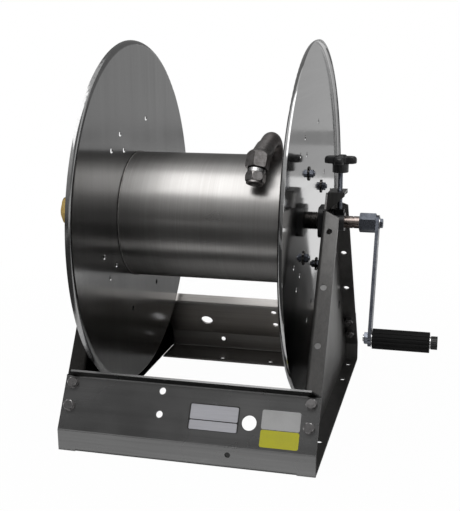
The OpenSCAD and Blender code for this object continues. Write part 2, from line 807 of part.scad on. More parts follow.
module spacer(outer_d, shaft_d) {
    on_axis(disc_out_x) ring(outer_d, shaft_d + 2 * fit_gap, bearing_in_x - disc_out_x - run_gap);
}
module left_spacer() {
    color(dark_steel) mirror([1, 0, 0]) spacer(inlet_spacer_d, inlet_shaft_d);
}
module right_spacer() {
    color(dark_steel) spacer(drive_spacer_d, drive_shaft_d);
}
module inlet_snap_ring() {
    inner_d = inlet_shaft_d - 2 * groove_depth + 2 * fit_gap;
    color(dark_steel) mirror([1, 0, 0]) on_axis(snap_x + fit_gap)
        ring(inlet_shaft_d + 7, inner_d, groove_w - 2 * fit_gap);
}
module brake_ring() {
    color(black_plastic) on_axis(bearing_out_x + run_gap)
        ring(brake_ring_d, drive_shaft_d + 2 * fit_gap, brake_ring_w);
}

module feed_coupling() {
    color(dark_steel) mirror([1, 0, 0]) on_axis(coupling_x - coupling_len / 2) difference() {
        cylinder(h = coupling_len, d = elbow_d);
        translate([0, 0, coupling_len / 2])
            cylinder(h = coupling_len, d = inlet_shaft_d + 2 * fit_gap);
        translate([0, 0, -over]) cylinder(h = coupling_len, d = pipe_d + 2 * fit_gap);
    }
}
module feed_pipe() {
    to = riser_x - elbow_stop;
    color(warm_steel) on_axis(seat_gap - coupling_x)
        ring(pipe_d, pipe_bore_d, to + coupling_x - seat_gap);
}
module feed_elbow() {
    color(dark_steel) difference() {
        union() {
            on_axis(riser_x - elbow_half) cylinder(h = elbow_half + elbow_d / 2, d = elbow_d);
            translate([riser_x, 0, axis_h]) cylinder(h = elbow_half, d = elbow_d);
        }
        on_axis(riser_x - elbow_half - over)
            cylinder(h = elbow_half - elbow_stop + over, d = pipe_d + 2 * fit_gap);
        on_axis(riser_x - elbow_half) cylinder(h = elbow_half, d = pipe_bore_d);
        translate([riser_x, 0, axis_h]) cylinder(h = elbow_half + over, d = pipe_bore_d);
        translate([riser_x, 0, axis_h + elbow_stop])
            cylinder(h = elbow_half, d = pipe_d + 2 * fit_gap);
    }
}

// Places children in the gooseneck's own plane: X forward, Y along the drum, Z up
module at_riser() {
    translate([riser_x, 0, axis_h]) rotate([0, 0, -90 - gooseneck_turn]) children();
}
// Places children past the bend's end, Z along the pipe
module at_pipe_end(s = 0) {
    at_riser() translate([bend_r, 0, bend_z]) rotate([0, 180 - pipe_lean, 0])
        translate([-bend_r, 0, s]) children();
}
// Places children past the outlet body's corner, Z along the outlet
module at_outlet(s = 0) {
    at_pipe_end(pipe_run + socket_len) rotate([0, outlet_turn, 0]) translate([0, 0, s]) children();
}
module pipe_section() {
    difference() {
        circle(d = pipe_d);
        circle(d = pipe_bore_d);
    }
}
module straight_pipe(h) {
    ring(pipe_d - 2 * skin, pipe_bore_d + 2 * skin, h);
}
module gooseneck() {
    color(warm_steel) {
        at_riser() translate([0, 0, elbow_stop]) straight_pipe(bend_z - elbow_stop + lap);
        at_riser() translate([bend_r, 0, bend_z]) rotate([90, 0, 0]) rotate([0, 0, pipe_lean])
            rotate_extrude(angle = 180 - pipe_lean) translate([bend_r, 0]) pipe_section();
        at_pipe_end(-lap) straight_pipe(pipe_run + socket_depth + lap);
    }
}
module outlet_body() {
    body_bore_d = pipe_bore_d - 2;
    dome_r = 0.64 * outlet_hex;
    dome_at = 4;
    color(warm_steel) difference() {
        union() {
            at_pipe_end(pipe_run) cylinder(h = socket_len, d = socket_d);
            at_outlet() {
                translate([0, 0, dome_at]) intersection() {
                    translate([0, 0, -dome_r]) hexagon(outlet_hex, dome_r + outlet_body_len - dome_at);
                    sphere(r = dome_r);
                }
                cylinder(h = nut_s - run_gap, d = outlet_neck_d - 2 * outlet_seal_t);
                translate([0, 0, outlet_body_len + outlet_seal_t + fit_gap])
                    cylinder(h = outlet_neck_len - fit_gap, d = outlet_neck_d);
                cylinder(h = nut_s + nose_len, d = nose_d);
            }
        }
        at_pipe_end(pipe_run - over)
            cylinder(h = socket_depth + over + fit_gap, d = pipe_d + 2 * fit_gap);
        at_pipe_end(pipe_run) cylinder(h = socket_len, d = body_bore_d);
        at_outlet() sphere(d = body_bore_d);
        at_outlet() cylinder(h = nut_s + nose_len + over, d = body_bore_d);
    }
}
module outlet_seal() {
    color(black_rubber) at_outlet(outlet_body_len + fit_gap / 2) ring(
        outlet_neck_d + 0.8,
        outlet_neck_d - 2 * outlet_seal_t + 2 * fit_gap,
        outlet_seal_t
    );
}
module outlet_nut() {
    color(warm_steel) at_outlet(nut_s) difference() {
        union() {
            intersection() {
                hexagon(outlet_nut_hex, nut_hex_len);
                translate([0, 0, nut_hex_len / 2])
                    sphere(r = norm([nut_hex_len / 2, outlet_nut_hex / 2]) + 0.6);
            }
            cylinder(h = outlet_nut_len, d = outlet_nut_hex - 1.6);
        }
        translate([0, 0, -over]) cylinder(h = nose_len + run_gap + over, d = nose_d + 2 * fit_gap);
        translate([0, 0, nose_len]) cylinder(h = outlet_nut_len, d = outlet_thread_d);
    }
}

module inlet_swivel_body() {
    total = inlet_hex_len + inlet_neck_len;
    from = inlet_end_x - total;
    color(brass_tone) mirror([1, 0, 0]) on_axis(from) difference() {
        union() {
            cylinder(h = total, d = inlet_neck_d);
            translate([0, 0, inlet_neck_len]) intersection() {
                rotate([0, 0, 30]) hexagon(inlet_hex, inlet_hex_len);
                translate([0, 0, inlet_hex_len / 2])
                    sphere(r = norm([inlet_hex_len / 2, inlet_hex / 2]) + 1);
            }
        }
        translate([0, 0, -over])
            cylinder(h = inlet_shaft_end_x - from + run_gap + over, d = inlet_shaft_d + 2 * fit_gap);
        translate([0, 0, total - inlet_thread_len]) cylinder(h = total, d = inlet_thread_d);
        cylinder(h = total, d = inlet_bore_d);
        translate([0, 0, seal_x - from]) cylinder(h = seal_w, d = inlet_shaft_d + 2 * seal_t + 2 * fit_gap);
    }
}
seal_x = inlet_end_x - inlet_hex_len - inlet_neck_len / 2;
seal_w = 4;
seal_t = 2.5;
module inlet_swivel_seal() {
    color(black_rubber) mirror([1, 0, 0]) on_axis(seal_x + fit_gap)
        ring(inlet_shaft_d + 2 * seal_t, inlet_shaft_d + 2 * fit_gap, seal_w - 2 * fit_gap);
}

module crank_hub() {
    color(zinc) on_axis(hub_x) difference() {
        hub_block();
        translate([0, 0, -over])
            cylinder(h = shaft_end_x - hub_x + over, d = drive_shaft_d + 2 * fit_gap);
        cylinder(h = crank_hub_len + over, d = crank_bolt_d + 2 * fit_gap);
    }
}
// A hexagon with two upright flats, its corners turned off at the ends
module hub_block() {
    intersection() {
        hexagon(crank_hub_hex, crank_hub_len);
        translate([0, 0, crank_hub_len / 2])
            sphere(r = norm([crank_hub_len / 2, crank_hub_hex / 2]) + 0.9);
    }
}
// Places children on the crank arm's inner face, Y along the arm
module on_arm(x) {
    translate([x, 0, axis_h]) rotate([-crank_lean, 0, 0]) rotate([90, 0, 90]) rotate([0, 0, 180])
        children();
}
module crank_arm() {
    color(zinc) on_arm(arm_x) difference() {
        linear_extrude(arm_t) {
            circle(d = arm_w);
            translate([-arm_w / 2, 0]) square([arm_w, crank_len]);
            translate([0, crank_len]) circle(d = arm_w);
        }
        translate([0, 0, -over]) cylinder(h = arm_t + 2 * over, d = crank_bolt_d + 2 * fit_gap);
        translate([0, crank_len, -over])
            cylinder(h = arm_t + 2 * over, d = spindle_thread_d + 2 * fit_gap);
    }
}
module crank_bolt() {
    head_x = arm_x + arm_t + crank_washer_t;
    from = shaft_end_x - crank_bolt_depth + 2;
    color(zinc) {
        on_axis(head_x) bolt_head(crank_head_hex, crank_head_h);
        on_axis(from) cylinder(h = head_x - from, d = crank_bolt_d);
    }
}
module crank_washer() {
    color(bright_steel) on_axis(arm_x + arm_t)
        ring(crank_washer_d, crank_bolt_d + 2 * fit_gap, crank_washer_t);
}
module on_spindle(x) {
    on_arm(x) translate([0, crank_len, 0]) children();
}
module grip_spindle() {
    thread = spindle_nut_t + arm_t + 2;
    color(bright_steel) {
        on_spindle(arm_x - spindle_nut_t - 2) cylinder(h = thread + fit_gap, d = spindle_thread_d);
        on_spindle(arm_x + arm_t)
            cylinder(h = end_nut_x + end_nut_len - 2 - arm_x - arm_t, d = spindle_d);
    }
}
module spindle_nut() {
    color(zinc) on_spindle(arm_x - spindle_nut_t) difference() {
        translate([0, 0, spindle_nut_t]) mirror([0, 0, 1]) bolt_head(spindle_nut_hex, spindle_nut_t);
        translate([0, 0, -over])
            cylinder(h = spindle_nut_t + 2 * over, d = spindle_thread_d + 2 * fit_gap);
    }
}
module grip_washers() {
    color(bright_steel) for (x = [arm_x + arm_t + seat_gap, grip_end_x + seat_gap])
        on_spindle(x) ring(grip_washer_d, spindle_d + 2 * fit_gap, grip_washer_t);
}
module grip() {
    flute_at = grip_d / 2 + 0.55 * flute_r;
    color(black_rubber) on_spindle(grip_x) difference() {
        cylinder(h = grip_len, d = grip_d);
        translate([0, 0, -over]) cylinder(h = grip_len + 2 * over, d = spindle_d + 2 * fit_gap);
        for (k = [0:grip_flutes - 1]) rotate([0, 0, k * 360 / grip_flutes])
            translate([flute_at, 0, -over]) cylinder(h = grip_len + 2 * over, r = flute_r, $fn = small_fn);
    }
}
module grip_end_nut() {
    notches = 20;
    notch_w = 1.4;
    color(black_plastic) on_spindle(end_nut_x) difference() {
        cylinder(h = end_nut_len, d = end_nut_d);
        translate([0, 0, -over]) cylinder(h = end_nut_len - 1.5 + over, d = spindle_d + 2 * fit_gap);
        for (k = [0:notches - 1]) rotate([0, 0, k * 360 / notches])
            translate([end_nut_d / 2 - 0.8, -notch_w / 2, -over])
                cube([over + 0.8, notch_w, end_nut_len + 2 * over]);
    }
}

module brake_screw() {
    from = pad_top_z - pad_pocket + fit_gap;
    color(zinc) translate([screw_x, 0, from]) cylinder(h = knob_z + knob_cup - from, d = screw_d);
}
module brake_knob() {
    lobes = 4;
    lobe_at = knob_d / 2 - lobe_r;
    color(black_plastic) translate([screw_x, 0, knob_z]) difference() {
        union() {
            cylinder(h = knob_hub_h, d = knob_hub_d);
            translate([0, 0, knob_hub_h]) {
                cylinder(h = lobe_h, d = knob_hub_d + lobe_r);
                for (k = [0:lobes - 1]) rotate([0, 0, k * 360 / lobes]) {
                    translate([lobe_at, 0, 0]) cylinder(h = lobe_h, r = lobe_r);
                    translate([0, -lobe_r, 0]) cube([lobe_at, 2 * lobe_r, lobe_h]);
                }
            }
        }
        translate([0, 0, -over]) cylinder(h = knob_cup + over, d = screw_d + 2 * fit_gap);
    }
}
module brake_pad() {
    bottom_z = axis_h + brake_ring_d / 2 - pad_drop;
    color(black_rubber) difference() {
        translate([screw_x - pad_size[0] / 2, -pad_size[1] / 2, bottom_z])
            cube([pad_size[0], pad_size[1], pad_top_z - bottom_z]);
        on_axis(screw_x - pad_size[0])
            cylinder(h = 2 * pad_size[0], d = brake_ring_d + 2 * run_gap);
        translate([screw_x, 0, pad_top_z - pad_pocket])
            cylinder(h = pad_pocket + over, d = screw_d + 2 * fit_gap);
    }
}
pad_drop = 2.4;

left_stand();
right_stand();
front_cross_member();
rear_cross_member();
frame_bolts();
frame_washers();
frame_nuts();
left_bearing();
right_bearing();
bearing_lock_rings();
nameplate();
light_label();
yellow_label();
brake_weld_nut();
drum();
left_disc();
right_disc();
left_end_plate();
right_end_plate();
disc_bolts();
star_washers();
disc_nuts();
inlet_shaft();
drive_shaft();
left_spacer();
right_spacer();
inlet_snap_ring();
brake_ring();
feed_coupling();
feed_pipe();
feed_elbow();
gooseneck();
outlet_body();
outlet_seal();
outlet_nut();
inlet_swivel_body();
inlet_swivel_seal();
crank_hub();
crank_arm();
crank_bolt();
crank_washer();
grip_spindle();
spindle_nut();
grip_washers();
grip();
grip_end_nut();
brake_screw();
brake_knob();
brake_pad();
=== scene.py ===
"""Hand-cranked fire hose reel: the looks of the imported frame.
Metres. X runs along the reel's axis to the crank, the front is at -Y, Z is up."""
import json
import math

import bmesh
import bpy
import numpy as np
from mathutils import Matrix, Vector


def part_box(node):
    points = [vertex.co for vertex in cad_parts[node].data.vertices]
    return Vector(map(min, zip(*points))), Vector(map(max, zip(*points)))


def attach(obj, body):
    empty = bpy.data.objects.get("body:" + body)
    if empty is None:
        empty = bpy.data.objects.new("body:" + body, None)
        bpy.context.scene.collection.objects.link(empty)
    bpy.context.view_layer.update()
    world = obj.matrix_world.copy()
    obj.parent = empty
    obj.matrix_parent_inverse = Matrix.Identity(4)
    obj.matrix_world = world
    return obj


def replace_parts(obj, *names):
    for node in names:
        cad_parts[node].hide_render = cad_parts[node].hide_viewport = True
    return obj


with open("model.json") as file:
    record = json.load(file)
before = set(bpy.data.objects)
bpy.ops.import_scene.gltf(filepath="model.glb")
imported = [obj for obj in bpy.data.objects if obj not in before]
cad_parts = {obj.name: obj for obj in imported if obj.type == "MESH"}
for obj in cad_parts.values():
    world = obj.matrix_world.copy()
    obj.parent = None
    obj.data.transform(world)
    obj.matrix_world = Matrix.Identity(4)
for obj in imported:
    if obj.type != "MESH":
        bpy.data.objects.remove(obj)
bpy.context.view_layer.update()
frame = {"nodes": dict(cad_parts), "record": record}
NODES = frame["nodes"]
MM = 0.001
AXIS_Z = 0.3175
DRUM_R = 0.1016
DISC_IN_X = 0.144
FACE_Y = -0.2465  # front of the upright strip; the slanted panel starts at its top edge
STRIP_H = 0.034
LEAN = math.radians(32)  # how far the panel leans back from upright


# ---------------------------------------------------------------- camera
def make_camera():
    """A long lens in front of the reel, right of it and above, level but for a slight roll."""
    azimuth, pitch, roll = np.radians([14.52, 13.967, -0.49])
    ahead = np.array([-np.sin(azimuth) * np.cos(pitch), np.cos(azimuth) * np.cos(pitch), -np.sin(pitch)])
    right = np.array([np.cos(azimuth), np.sin(azimuth), 0.0])
    up = np.cross(right, ahead)
    across = right * np.cos(roll) + up * np.sin(roll)
    upward = up * np.cos(roll) - right * np.sin(roll)
    data = bpy.data.cameras.new("reel_camera")
    data.sensor_fit = "VERTICAL"
    sensor, lens_over_height = 36.0, 930.4 / 511.0
    data.sensor_height = sensor
    data.lens = sensor * lens_over_height
    data.clip_start = 0.05
    data.clip_end = 60.0
    camera = bpy.data.objects.new("reel_camera", data)
    bpy.context.scene.collection.objects.link(camera)
    place = np.eye(4)
    place[:3, 0], place[:3, 1], place[:3, 2] = across, upward, -ahead
    place[:3, 3] = [0.3804, -1.4291, 0.6201]
    camera.matrix_world = Matrix(place.tolist())
    bpy.context.scene.camera = camera


# ---------------------------------------------------------------- node helpers
def link(tree, source, target):
    tree.links.new(source, target)


def put(target, value, tree):
    """Sets a socket: links it if value is a socket, and otherwise writes the value."""
    if isinstance(value, bpy.types.NodeSocket):
        tree.links.new(value, target)
    else:
        target.default_value = value


def add(tree, kind, settings=None, **inputs):
    """A node of that kind, its settings set and its inputs, by name or number, filled."""
    node = tree.nodes.new("ShaderNode" + kind)
    for key, value in (settings or {}).items():
        setattr(node, key, value)
    for key, value in inputs.items():
        numbered = key[0] == "i" and key[1:].isdigit()
        socket = node.inputs[int(key[1:]) if numbered else key.replace("_", " ")]
        put(socket, value, tree)
    return node


def maths(tree, operation, a, b=0.0, clamp=False):
    return add(tree, "Math", {"operation": operation, "use_clamp": clamp}, i0=a, i1=b).outputs[0]


def spread(tree, value, low, high, to_low=0.0, to_high=1.0):
    """Maps low..high to to_low..to_high and clamps."""
    return add(tree, "MapRange", {"clamp": True}, Value=value, From_Min=low, From_Max=high,
               To_Min=to_low, To_Max=to_high).outputs[0]


def between(tree, factor, first, second):
    """Mixes two colours by a factor."""
    return add(tree, "Mix", {"data_type": "RGBA"}, i0=factor, i6=first, i7=second).outputs[2]


def bare_tree(owner, output):
    """The node tree of a material or world, emptied but for its output, and where its shader goes in."""
    owner.use_nodes = True
    owner.node_tree.nodes.clear()
    return owner.node_tree, owner.node_tree.nodes.new(output).inputs[0]


def new_group(name, inputs, outputs):
    """An empty shader group with named sockets, and its two ends."""
    group = bpy.data.node_groups.new(name, "ShaderNodeTree")
    kinds = {"vector": "NodeSocketVector", "value": "NodeSocketFloat"}
    for way, sockets in (("INPUT", inputs), ("OUTPUT", outputs)):
        for label, kind in sockets:
            group.interface.new_socket(label, in_out=way, socket_type=kinds[kind])
    return group, group.nodes.new("NodeGroupInput"), group.nodes.new("NodeGroupOutput")


def make_brushed_group():
    """Fine streaks left by a belt, drawn out along one way, with broad soft clouds over them."""
    group, start, end = new_group(
        "Brushed grain",
        [("Place", "vector"), ("Stretch", "vector"), ("Cloud size", "value")],
        [("Streaks", "value"), ("Clouds", "value"), ("Scratches", "value")],
    )
    drawn = add(group, "VectorMath", {"operation": "MULTIPLY"}, i0=start.outputs[0], i1=start.outputs[1])
    fine = add(group, "TexNoise", Vector=drawn.outputs[0], Scale=1.0, Detail=4.0, Roughness=0.7)
    coarse_place = add(group, "VectorMath", {"operation": "SCALE"}, i0=drawn.outputs[0], Scale=0.23)
    coarse = add(group, "TexNoise", Vector=coarse_place.outputs[0], Scale=1.0, Detail=2.0)
    fine_part = maths(group, "MULTIPLY", fine.outputs[0], 0.6)
    both = maths(group, "ADD", fine_part, maths(group, "MULTIPLY", coarse.outputs[0], 0.4))
    link(group, spread(group, both, 0.34, 0.66), end.inputs[0])
    cloud = add(group, "TexNoise", Vector=start.outputs[0], Scale=start.outputs[2], Detail=3.0)
    link(group, spread(group, cloud.outputs[0], 0.35, 0.68), end.inputs[1])
    thin = add(group, "TexNoise", Vector=coarse_place.outputs[0], Scale=3.1, Detail=0.0)
    line = maths(group, "ABSOLUTE", maths(group, "SUBTRACT", thin.outputs[0], 0.5))
    link(group, spread(group, line, 0.0, 0.012, 1.0, 0.0), end.inputs[2])
    return group


def make_wear_group():
    """Grime and handling: soft blotches and small specks."""
    group, start, end = new_group(
        "Handling marks",
        [("Place", "vector"), ("Size", "value")],
        [("Blotches", "value"), ("Specks", "value")],
    )
    broad = add(group, "TexNoise", Vector=start.outputs[0], Scale=start.outputs[1], Detail=5.0, Roughness=0.62)
    link(group, spread(group, broad.outputs[0], 0.42, 0.66), end.inputs[0])
    ratio = maths(group, "MULTIPLY", start.outputs[1], 22.0)
    cells = add(group, "TexVoronoi", {"feature": "F1"}, Vector=start.outputs[0], Scale=ratio)
    link(group, spread(group, cells.outputs[0], 0.10, 0.22, 1.0, 0.0), end.inputs[1])
    return group


def make_mould_group():
    """The fine pebbled skin of moulded plastic and rubber."""
    group, start, end = new_group(
        "Moulded skin",
        [("Place", "vector"), ("Size", "value")],
        [("Height", "value"), ("Shade", "value")],
    )
    pebbles = add(group, "TexVoronoi", {"feature": "SMOOTH_F1"}, Vector=start.outputs[0],
                  Scale=start.outputs[1])
    link(group, pebbles.outputs[0], end.inputs[0])
    tone = add(group, "TexNoise", Vector=start.outputs[0], Scale=28.0, Detail=3.0)
    link(group, spread(group, tone.outputs[0], 0.35, 0.65), end.inputs[1])
    return group


BRUSHED = make_brushed_group()
WEAR = make_wear_group()
MOULDED = make_mould_group()


def use_group(tree, group, place, *values):
    """The outputs of a group set in a tree, its first input linked to place and the others set."""
    node = tree.nodes.new("ShaderNodeGroup")
    node.node_tree = group
    put(node.inputs[0], place, tree)
    for socket, value in zip(list(node.inputs)[1:], values):
        socket.default_value = value
    return node.outputs


def new_material(name):
    """A material with a Principled shader, and the Object coordinates that its patterns read."""
    material = bpy.data.materials.new(name)
    tree, end = bare_tree(material, "ShaderNodeOutputMaterial")
    shader = tree.nodes.new("ShaderNodeBsdfPrincipled")
    link(tree, shader.outputs[0], end)
    place = tree.nodes.new("ShaderNodeTexCoord").outputs["Object"]
    return material, tree, shader, place


def bump(tree, shader, height, strength, distance):
    node = add(tree, "Bump", Strength=strength, Distance=distance, Height=height)
    link(tree, node.outputs[0], shader.inputs["Normal"])


def brushed_metal(name, dark, light, stretch, rough, clouds, relief, scratch, edge):
    """Steel with belt streaks. Streaks and clouds tone the colour, and the clouds move the roughness."""
    material, tree, shader, place = new_material(name)
    shader.inputs["Specular Tint"].default_value = (edge, edge, edge, 1)
    streaks, cloud, scratches = use_group(tree, BRUSHED, place, stretch, clouds)
    tone = maths(tree, "ADD", maths(tree, "MULTIPLY", streaks, 0.75), maths(tree, "MULTIPLY", cloud, 0.25))
    base = between(tree, tone, (*dark, 1), (*light, 1))
    marked = maths(tree, "MULTIPLY", scratches, scratch)
    bright = (*[min(1.0, c * 1.5) for c in light], 1)
    link(tree, between(tree, marked, base, bright), shader.inputs["Base Color"])
    link(tree, spread(tree, cloud, 0.0, 1.0, *rough), shader.inputs["Roughness"])
    shader.inputs["Metallic"].default_value = 1.0
    bump(tree, shader, streaks, relief, 0.0002)
    return material


def plated_metal(name, dark, light, rough, size, relief=0.08):
    """Plated or cast metal: a mottled tone with dark specks."""
    material, tree, shader, place = new_material(name)
    shader.inputs["Specular Tint"].default_value = (0.7, 0.7, 0.7, 1)
    blotches, specks = use_group(tree, WEAR, place, size)
    base = between(tree, blotches, (*light, 1), (*dark, 1))
    speckled = between(tree, maths(tree, "MULTIPLY", specks, 0.5), base, (*dark, 1))
    link(tree, speckled, shader.inputs["Base Color"])
    link(tree, spread(tree, blotches, 0.0, 1.0, *rough), shader.inputs["Roughness"])
    shader.inputs["Metallic"].default_value = 1.0
    bump(tree, shader, blotches, relief, 0.0003)
    return material


def moulded(name, dark, light, rough, size, relief, specular=0.5):
    """Moulded plastic or rubber: a pebbled skin, rubbed lighter in places."""
    material, tree, shader, place = new_material(name)
    height, shade = use_group(tree, MOULDED, place, size)
    link(tree, between(tree, shade, (*dark, 1), (*light, 1)), shader.inputs["Base Color"])
    link(tree, spread(tree, shade, 0.0, 1.0, *rough), shader.inputs["Roughness"])
    shader.inputs["Specular IOR Level"].default_value = specular
    bump(tree, shader, height, relief, 0.0002)
    return material


def enamel(name, dark, light, rough):
    """A printed or enamelled plate: even colour with faint handling marks."""
    material, tree, shader, place = new_material(name)
    blotches, specks = use_group(tree, WEAR, place, 40.0)
    tone = maths(tree, "MULTIPLY", maths(tree, "ADD", blotches, specks, True), 0.5)
    link(tree, between(tree, tone, (*light, 1), (*dark, 1)), shader.inputs["Base Color"])
    link(tree, spread(tree, blotches, 0.0, 1.0, *rough), shader.inputs["Roughness"])
    return material


def make_field_group():
    """Whether a point of a flat panel lies in a rectangle with rounded corners: 1 inside, 0 outside.
    With p the distances from the middle and q = |p| - half + radius, the edge is |max(q, 0)| = radius."""
    group, start, end = new_group(
        "Rounded field",
        [("Across", "value"), ("Up", "value"), ("Middle", "vector"), ("Half", "vector"), ("Radius", "value")],
        [("Inside", "value")],
    )
    point = add(group, "CombineXYZ", i0=start.outputs[0], i1=start.outputs[1])
    away = add(group, "VectorMath", {"operation": "SUBTRACT"}, i0=point.outputs[0], i1=start.outputs[2])
    size = add(group, "VectorMath", {"operation": "ABSOLUTE"}, i0=away.outputs[0])
    past = add(group, "VectorMath", {"operation": "SUBTRACT"}, i0=size.outputs[0], i1=start.outputs[3])
    round_corner = add(group, "CombineXYZ", i0=start.outputs[4], i1=start.outputs[4])
    past = add(group, "VectorMath", {"operation": "ADD"}, i0=past.outputs[0], i1=round_corner.outputs[0])
    past = add(group, "VectorMath", {"operation": "MAXIMUM"}, i0=past.outputs[0], i1=(0.0, 0.0, 0.0))
    reach = add(group, "VectorMath", {"operation": "LENGTH"}, i0=past.outputs[0])
    over = maths(group, "SUBTRACT", reach.outputs["Value"], start.outputs[4])
    link(group, spread(group, over, -0.0001, 0.0001, 1.0, 0.0), end.inputs[0])
    return group


FIELD = make_field_group()


def framed_plate(name, frame_tone, field_tone, fields):
    """A plate on the slanted panel whose blank fields, as (across, up, half across, half up) in metres
    along the panel from its lower corner, show brushed metal inside a dark enamel frame."""
    material, tree, shader, place = new_material(name)
    split = add(tree, "SeparateXYZ", i0=place).outputs
    lift = maths(tree, "MULTIPLY", maths(tree, "SUBTRACT", split[2], STRIP_H), math.cos(LEAN))
    back = maths(tree, "MULTIPLY", maths(tree, "SUBTRACT", split[1], FACE_Y), math.sin(LEAN))
    up = maths(tree, "ADD", lift, back)
    mask, corner = None, 0.0018
    for across, at, half_across, half_up in fields:
        inside = tree.nodes.new("ShaderNodeGroup")
        inside.node_tree = FIELD
        link(tree, split[0], inside.inputs[0])
        link(tree, up, inside.inputs[1])
        inside.inputs[2].default_value = (across, at, 0.0)
        inside.inputs[3].default_value = (half_across, half_up, 0.0)
        inside.inputs[4].default_value = corner
        mask = inside.outputs[0] if mask is None else maths(tree, "MAXIMUM", mask, inside.outputs[0])
    streaks = use_group(tree, BRUSHED, place, (40.0, 900.0, 900.0), 25.0)[0]
    metal = between(tree, streaks, (*[0.88 * c for c in field_tone], 1), (*field_tone, 1))
    link(tree, between(tree, mask, (*frame_tone, 1), metal), shader.inputs["Base Color"])
    link(tree, spread(tree, mask, 0.0, 1.0, 0.36, 0.5), shader.inputs["Roughness"])
    link(tree, maths(tree, "MULTIPLY", mask, 0.25), shader.inputs["Metallic"])
    bump(tree, shader, mask, 0.5, 0.0002)
    return material


def grey(value, warmth=0.0):
    return (value * (1 + warmth), value, value * (1 - warmth))


# name: dark, light, stretch along X, Y and Z, roughness, cloud size, relief, scratches, edge tint
BRUSHED_METALS = {
    "disc_steel": (grey(0.25), grey(0.33), (14.0, 420.0, 5.0), (0.13, 0.21), 7.0, 0.06, 0.10, 0.9),
    # painted light: the right disc is the same polished steel as the left, given a lighter base and a whiter
    # edge tint for the light on its outer face
    "painted_light_disc_steel": (grey(0.33), grey(0.41), (14.0, 5.0, 300.0), (0.06, 0.12), 7.0, 0.03, 0.08, 1.0),
    "drum_steel": (grey(0.27, 0.03), grey(0.33, 0.02), (420.0, 4.0, 4.0), (0.27, 0.35), 8.0, 0.12, 0.2, 0.6),
    "stand_steel": (
        grey(0.10, 0.02), grey(0.155, 0.02), (380.0, 380.0, 9.0), (0.32, 0.44), 11.0, 0.16, 0.2, 1.0),
    # painted shade: the left stand's steel, the same as stand_steel but several times darker, for the shade it
    # stands in
    "painted_shade_steel": (
        grey(0.02, 0.04), grey(0.035, 0.04), (380.0, 380.0, 9.0), (0.34, 0.46), 11.0, 0.16, 0.2, 0.2),
    "panel_steel": (grey(0.13), grey(0.175), (6.0, 380.0, 380.0), (0.22, 0.32), 9.0, 0.12, 0.15, 0.5),
    # painted light: the rear cross member's steel, over twice as light as panel_steel, to lift its shaded
    # inner faces; it also has a warm tint
    "painted_light_rear_steel": (grey(0.28, 0.05), grey(0.40, 0.03), (6.0, 380.0, 380.0), (0.34, 0.46), 9.0, 0.12, 0.1, 0.5),
    "bright_steel": (grey(0.42), grey(0.60), (900.0, 30.0, 30.0), (0.14, 0.24), 30.0, 0.08, 0.1, 0.6),
    "shaft_steel": (
        (0.17, 0.135, 0.12), (0.40, 0.35, 0.325), (900.0, 30.0, 30.0), (0.16, 0.28), 60.0, 0.08, 0.1, 0.6),
}
# name: dark, light, roughness, blotch size, relief where it isn't the usual one
PLATED_METALS = {
    "zinc_steel": ((0.12, 0.13, 0.15), (0.20, 0.215, 0.25), (0.26, 0.42), 90.0),
    "bolt_steel": ((0.16, 0.155, 0.155), (0.34, 0.33, 0.33), (0.14, 0.26), 120.0),
    "arm_steel": ((0.06, 0.065, 0.08), (0.14, 0.15, 0.175), (0.24, 0.4), 90.0),
    "pipe_steel": ((0.17, 0.152, 0.147), (0.27, 0.25, 0.245), (0.34, 0.46), 70.0),
    "cast_steel": ((0.17, 0.160, 0.156), (0.31, 0.297, 0.292), (0.28, 0.42), 120.0, 0.15),
    "weld": (grey(0.20, 0.04), grey(0.32, 0.03), (0.34, 0.48), 120.0),
    "dark_steel": ((0.035, 0.033, 0.032), (0.08, 0.075, 0.072), (0.32, 0.5), 80.0),
    "brass": ((0.26, 0.17, 0.05), (0.46, 0.33, 0.12), (0.24, 0.4), 60.0),
}
# name: dark, light, roughness, pebble size, relief, specular level where it isn't the usual one
MOULDINGS = {
    "black_plastic": ((0.010, 0.010, 0.011), (0.020, 0.020, 0.021), (0.34, 0.48), 1100.0, 0.12),
    "black_rubber": ((0.003, 0.003, 0.003), (0.007, 0.007, 0.007), (0.5, 0.64), 800.0, 0.2, 0.12),
}
# name: dark, light, roughness
PLATES = {
    "light_plate": (grey(0.33), grey(0.39), (0.4, 0.55)),
    "yellow_plate": ((0.38, 0.36, 0.010), (0.46, 0.44, 0.014), (0.34, 0.5)),
}
MATERIALS = {
    name: make(name, *row)
    for make, rows in (
        (brushed_metal, BRUSHED_METALS), (plated_metal, PLATED_METALS), (moulded, MOULDINGS), (enamel, PLATES))
    for name, row in rows.items()
}
MATERIALS["black_enamel"] = framed_plate(
    "black_enamel", grey(0.012), (0.42, 0.42, 0.45),
    [(0.0424, 0.0462, 0.0357, 0.0108), (0.0424, 0.0272, 0.0357, 0.0066)])
SLOT_MATERIALS = {
    "stainless": "stand_steel",
    "polished_stainless": "disc_steel",
}
NODE_MATERIALS = {
    "drum": "drum_steel",
    # painted light: the right disc gets a lighter copy of the disc steel
    "right_disc": "painted_light_disc_steel",
    "front_cross_member": "panel_steel",
    # painted light: the rear cross member gets a lighter copy of the sheet steel
    "rear_cross_member": "painted_light_rear_steel",
    # painted shade: the left stand gets a darker copy of the stand steel
    "left_stand": "painted_shade_steel",
    "frame_bolts": "bolt_steel",
    "frame_nuts": "bolt_steel",
    "frame_washers": "bolt_steel",
    "disc_bolts": "arm_steel",
    "disc_nuts": "arm_steel",
    "outlet_body": "cast_steel",
    "outlet_nut": "cast_steel",
    "drive_shaft": "shaft_steel",
    "crank_arm": "arm_steel",
}


def dress_nodes():
    """Every node of the frame gets the finish of its slot, or one of its own."""
    slots = {row["node"]: row["material_slot"] for row in frame["record"]["subparts"]}
    for name, node in NODES.items():
        slot = slots[name]
        material = MATERIALS[NODE_MATERIALS.get(name, SLOT_MATERIALS.get(slot, slot))]
        node.data.materials.clear()
        node.data.materials.append(material)


